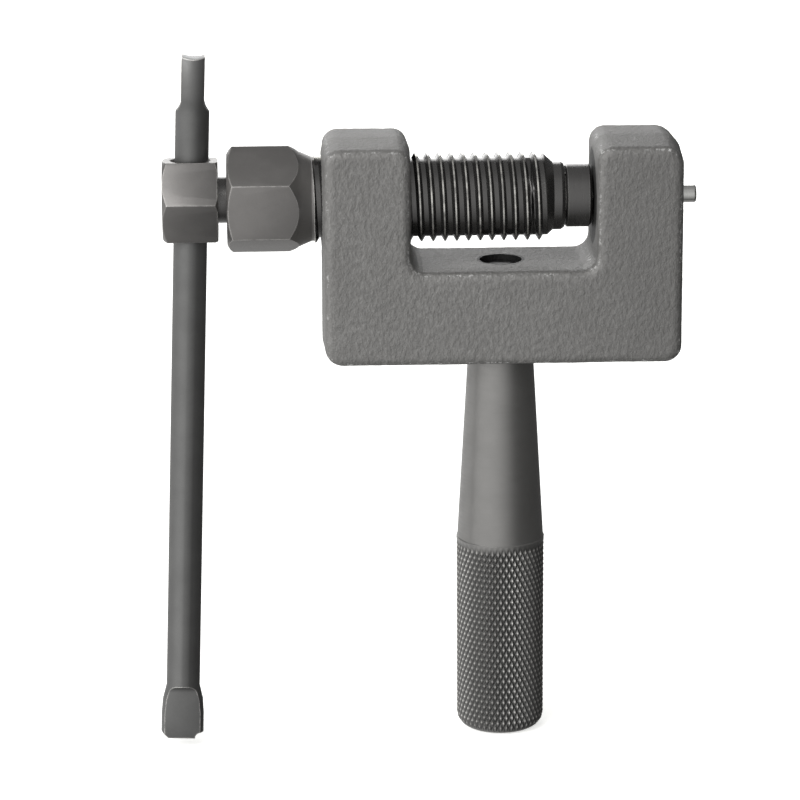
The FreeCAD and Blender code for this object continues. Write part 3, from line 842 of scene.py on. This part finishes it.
def knurled_handle(settings):
    """The handle as rings of points, with its knurl cut into the grip's rings."""
    per_diamond, sharp_from = 6, math.radians(28)
    sides = settings.starts * per_diamond
    rows, on_grip = handle_outline(settings.lead / per_diamond)
    count = len(rows)
    heights, radii = rows[:, :1], rows[:, 1:]
    turn = np.arange(sides) / sides
    cuts = knurl_cuts(settings, heights, turn)
    cuts[on_grip:] = 0.0
    reach, angle = radii - settings.depth * cuts, turn * 2 * math.pi
    points = np.stack([reach * np.cos(angle), reach * np.sin(angle), heights + 0.0 * angle], 2)
    cuts[-1] = 1.0
    middles = square_middles(points)[:on_grip].reshape(-1, 3)
    middle_cuts = square_middles(cuts)[:on_grip].ravel()
    faces = []
    for row in range(count - 1):
        low, high = row * sides, (row + 1) * sides
        for side in range(sides):
            after = (side + 1) % sides
            corners = (low + side, low + after, high + after, high + side)
            if row >= on_grip:
                faces.append(corners)
                continue
            middle = count * sides + low + side
            faces += [(corners[n], corners[(n + 1) % 4], middle) for n in range(4)]
    faces.append(tuple(reversed(range(sides))))
    faces.append(tuple((count - 1) * sides + side for side in range(sides)))
    vertices = np.concatenate([points.reshape(-1, 3), middles])
    mesh = bpy.data.meshes.new("knurled_handle")
    mesh.from_pydata(vertices.tolist(), [], faces)
    vertex_values(mesh, "groove", np.concatenate([cuts.ravel(), middle_cuts]))
    mesh.shade_smooth()
    mesh.set_sharp_from_angle(angle=sharp_from)
    mesh.update()
    return mesh


def pressure_screw_mesh(width):
    """The pressure screw with its hexagon's edges broken and its crests marked."""
    bore_zone, crest_depth = 6.0 * MM, 0.03 * MM
    source = welded_copy("pressure_screw")

    def on_head(edge):
        return all(
            v.co.x < SCREW_HEAD_END + TINY
            and math.hypot(v.co.y, v.co.z - SPINDLE_HEIGHT) > bore_zone
            for v in edge.verts
        )

    soften_edges(source, on_head, width)
    mesh = to_mesh(source, "blackened_pressure_screw")
    points, _ = vertex_rows(mesh)
    radius = np.hypot(points[:, 1], points[:, 2] - SPINDLE_HEIGHT)
    # the crest mark carries the material's painted highlight
    crest = (np.abs(radius - CREST_RADIUS) < crest_depth) & (points[:, 0] > SCREW_HEAD_END)
    vertex_values(mesh, "crest", crest.astype(float))
    return mesh


def pin_screw_mesh(width):
    """The pin screw with the edges of its small hexagon and cross hole broken."""
    source = welded_copy("pin_screw")

    def on_head(edge):
        return all(v.co.x < PIN_HEAD_END + TINY for v in edge.verts)

    soften_edges(source, on_head, width)
    return to_mesh(source, "satin_pin_screw")


def tommy_bar_mesh(width):
    """The tommy bar with the edges of its pressed ends broken."""
    source = welded_copy("tommy_bar")
    soften_edges(source, lambda edge: True, width)
    return to_mesh(source, "satin_tommy_bar")


def flexing_spring(material):
    """The return spring, copied from its CAD node's mesh."""
    mesh = NODES["return_spring"].data.copy()
    mesh.name = "coiled_return_spring"
    mesh.materials.clear()
    mesh.materials.append(material)
    piece = bpy.data.objects.new("coiled_return_spring", mesh)
    bpy.context.scene.collection.objects.link(piece)
    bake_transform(piece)
    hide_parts("return_spring")


# ---------------------------------------------------------------- operators


class CHAINTOOL_OT_cast_body(bpy.types.Operator):
    """Build the cast U body's skin"""

    bl_idname = "chaintool.cast_body"
    bl_label = "Cast body"

    def execute(self, context):
        settings = context.scene.chain_tool_body
        mesh = cast_skin(settings.skin, settings.swell, settings.pebble)
        new_piece(
            "cast_u_body",
            mesh,
            "u_body",
            "frame",
            cast_phosphated_steel(settings),
        )
        return {"FINISHED"}


class CHAINTOOL_OT_handle(bpy.types.Operator):
    """Build the handle with its knurled grip"""

    bl_idname = "chaintool.handle"
    bl_label = "Knurled handle"

    def execute(self, context):
        settings = context.scene.chain_tool_handle
        new_piece(
            "knurled_handle",
            knurled_handle(settings),
            "handle",
            "frame",
            knurled_satin_steel(settings),
        )
        return {"FINISHED"}


class CHAINTOOL_OT_screws(bpy.types.Operator):
    """Finish the pressure screw, its nose and the pin screw"""

    bl_idname = "chaintool.screws"
    bl_label = "Screws"

    def execute(self, context):
        black = context.scene.chain_tool_black
        satin = context.scene.chain_tool_satin
        collar = 0.65 * MM
        screw_black_from, pin_black_from = SCREW_HEAD_END + collar, PIN_HEAD_END + 5 * TINY
        new_piece(
            "threaded_pressure_screw",
            pressure_screw_mesh(satin.softening),
            "pressure_screw",
            "pressure_screw",
            two_finish_steel("blackened_screw_steel", black, satin, screw_black_from),
        )
        new_piece(
            "hexagon_pin_screw",
            pin_screw_mesh(satin.softening),
            "pin_screw",
            "pin_screw",
            two_finish_steel("satin_headed_steel", black, satin, pin_black_from),
        )
        finish_node("swivel_nose", black_oxide(black))
        return {"FINISHED"}


class CHAINTOOL_OT_pin_and_spring(bpy.types.Operator):
    """Finish the push pin, its return spring and the nose's ring"""

    bl_idname = "chaintool.pin_and_spring"
    bl_label = "Pin and spring"

    def execute(self, context):
        settings = context.scene.chain_tool_black
        finish_node("push_pin", ground_steel(settings))
        wire = drawn_wire(settings)
        flexing_spring(wire)
        finish_node("nose_snap_ring", wire)
        return {"FINISHED"}


class CHAINTOOL_OT_tommy_bar(bpy.types.Operator):
    """Finish the tommy bar"""

    bl_idname = "chaintool.tommy_bar"
    bl_label = "Tommy bar"

    def execute(self, context):
        settings = context.scene.chain_tool_satin
        new_piece(
            "pressed_tommy_bar",
            tommy_bar_mesh(settings.softening),
            "tommy_bar",
            "tommy_bar",
            forged_satin_steel(settings),
        )
        return {"FINISHED"}


class CHAINTOOL_OT_stage(bpy.types.Operator):
    """Lay the floor, set the lights and place the camera"""

    bl_idname = "chaintool.stage"
    bl_label = "Floor, light and camera"

    def execute(self, context):
        settings = context.scene.chain_tool_stage
        lay_floor(settings)
        set_lights(context.scene, settings)
        place_camera(context.scene, settings)
        context.scene.view_settings.view_transform = "Standard"
        return {"FINISHED"}


def lay_floor(settings):
    """A pale floor, and a pale dome beyond it; neither throws light on the tool."""
    floor_radius, dome_radius = 3.0, 6.0
    floor_glow, dome_glow = 0.62, 1.0
    floor_source = bmesh.new()
    bmesh.ops.create_circle(floor_source, cap_ends=True, segments=96, radius=floor_radius)
    dome_source = bmesh.new()
    bmesh.ops.create_uvsphere(
        dome_source, u_segments=48, v_segments=24, radius=dome_radius
    )
    for name, source, glow in (
        ("floor", floor_source, floor_glow),
        ("backdrop", dome_source, dome_glow),
    ):
        mesh = bpy.data.meshes.new(name)
        source.to_mesh(mesh)
        source.free()
        mesh.materials.append(pale_paint(name + "_paint", settings.floor, glow))
        sheet = bpy.data.objects.new(name, mesh)
        sheet.visible_diffuse = False
        sheet.visible_glossy = False
        sheet.visible_transmission = False
        sheet.visible_shadow = False
        bpy.context.scene.collection.objects.link(sheet)


def pale_paint(name, colour, glow):
    """Matt pale paint with a glow of its own, so that it stays pale away from the lights."""
    material, tree = new_material(name)
    matt = add(tree, "BsdfDiffuse", Color=colour)
    shine = add(tree, "Emission", Color=colour, Strength=glow)
    both = add(tree, "AddShader", i0=matt, i1=shine)
    add(tree, "OutputMaterial", Surface=both)
    return material


def set_lights(scene, settings):
    """A soft key on the left in front, a low one behind, and a room round them."""
    target = Vector((-0.02, 0.0, 0.10))
    for name, place, size, power in (
        ("key", (-0.42, -0.44, 0.50), 0.50, settings.key_power),
        ("back", (-0.10, 0.90, 0.36), 0.60, settings.back_power),
    ):
        light = bpy.data.lights.new(name, "AREA")
        light.size = size
        light.energy = power
        lamp = bpy.data.objects.new(name, light)
        lamp.location = place
        lamp.rotation_mode = "QUATERNION"
        lamp.rotation_quaternion = (target - Vector(place)).to_track_quat("-Z", "Y")
        scene.collection.objects.link(lamp)
    scene.world = soft_room(settings.room)


def soft_room(brightness):
    """A room that is bright on the left and dim on the right."""
    window, wall = (-0.72, -0.69, 0.0), (-0.62, 0.78, 0.0)
    bench, ceiling = (-0.35, 0.6, -0.72), (0.0, 0.0, 1.0)
    world = bpy.data.worlds.new("soft_room")
    world.use_nodes = True
    tree = world.node_tree
    tree.nodes.clear()
    direction = add(tree, "TexCoord", output="Generated")
    level = None
    for way, shine in (
        (window, span(-0.1, 1.0, 0.11, 1.0)),
        (wall, span(0.55, 1.0, 0.0, 0.22)),
        (bench, span(0.5, 0.95, 0.0, 0.6)),
        (ceiling, span(0.55, 1.0, 0.0, 0.32)),
    ):
        likeness = add(tree, "VectorMath", LIKENESS, "Value", i0=direction, i1=way)
        part = add(tree, "MapRange", SMOOTH, Value=likeness, **shine)
        level = add(tree, "Math", PLUS, i0=level, i1=part) if level else part
    height = add(tree, "SeparateXYZ", output="Z", Vector=direction)
    dim_below, dim_overhead = span(-1.0, 0.1, 0.75, 1.0), span(0.72, 1.0, 1.0, 0.85)
    for fall in (dim_below, dim_overhead):
        dimming = add(tree, "MapRange", SMOOTH, Value=height, **fall)
        level = add(tree, "Math", TIMES, i0=level, i1=dimming)
    level = add(tree, "Math", TIMES, i0=level, i1=brightness)
    white = (1.0, 1.0, 1.0)
    background = add(tree, "Background", Color=white, Strength=level)
    add(tree, "OutputWorld", Surface=background)
    return world


def place_camera(scene, settings):
    """The camera, nearly square on and a little above, with a slight roll."""
    target = Vector((-0.022, 0.0, 0.07523))
    roll, sensor_mm, lens_mm, clip = math.radians(-0.307), 36.0, 174.81, (0.05, 20.0)
    a, e = settings.azimuth, settings.elevation
    back = Vector((math.sin(a) * math.cos(e), -math.cos(a) * math.cos(e), math.sin(e)))
    lens = bpy.data.cameras.new("camera")
    lens.sensor_width, lens.lens = sensor_mm, lens_mm
    lens.clip_start, lens.clip_end = clip
    camera = bpy.data.objects.new("camera", lens)
    camera.location = target + back * settings.distance
    camera.rotation_mode = "QUATERNION"
    level = (-back).to_track_quat("-Z", "Y")
    camera.rotation_quaternion = level @ Quaternion((0.0, 0.0, 1.0), roll)
    scene.collection.objects.link(camera)
    scene.camera = camera


# ---------------------------------------------------------------- add-on

SETTINGS = {
    "chain_tool_body": CastBodySettings,
    "chain_tool_handle": HandleSettings,
    "chain_tool_satin": SatinSteelSettings,
    "chain_tool_black": BlackSteelSettings,
    "chain_tool_stage": StageSettings,
}
OPERATORS = (
    CHAINTOOL_OT_cast_body,
    CHAINTOOL_OT_handle,
    CHAINTOOL_OT_screws,
    CHAINTOOL_OT_pin_and_spring,
    CHAINTOOL_OT_tommy_bar,
    CHAINTOOL_OT_stage,
)


class CHAINTOOL_PT_sidebar(bpy.types.Panel):
    """Lists the steps and their settings"""

    bl_idname = "CHAINTOOL_PT_sidebar"
    bl_label = "Chain breaker"
    bl_space_type = "VIEW_3D"
    bl_region_type = "UI"
    bl_category = "Chain breaker"

    def draw(self, context):
        for operator in OPERATORS:
            self.layout.operator(operator.bl_idname)
        for name, kind in SETTINGS.items():
            box = self.layout.box()
            for setting in kind.__annotations__:
                box.prop(getattr(context.scene, name), setting)


def register():
    for kind in (*SETTINGS.values(), *OPERATORS, CHAINTOOL_PT_sidebar):
        bpy.utils.register_class(kind)
    for name, kind in SETTINGS.items():
        setattr(bpy.types.Scene, name, PointerProperty(type=kind))


def unregister():
    for name in SETTINGS:
        delattr(bpy.types.Scene, name)
    for kind in reversed((*SETTINGS.values(), *OPERATORS, CHAINTOOL_PT_sidebar)):
        bpy.utils.unregister_class(kind)


def main():
    register()
    bpy.ops.chaintool.cast_body()
    bpy.ops.chaintool.handle()
    bpy.ops.chaintool.screws()
    bpy.ops.chaintool.pin_and_spring()
    bpy.ops.chaintool.tommy_bar()
    bpy.ops.chaintool.stage()


if __name__ == "__main__":
    main()
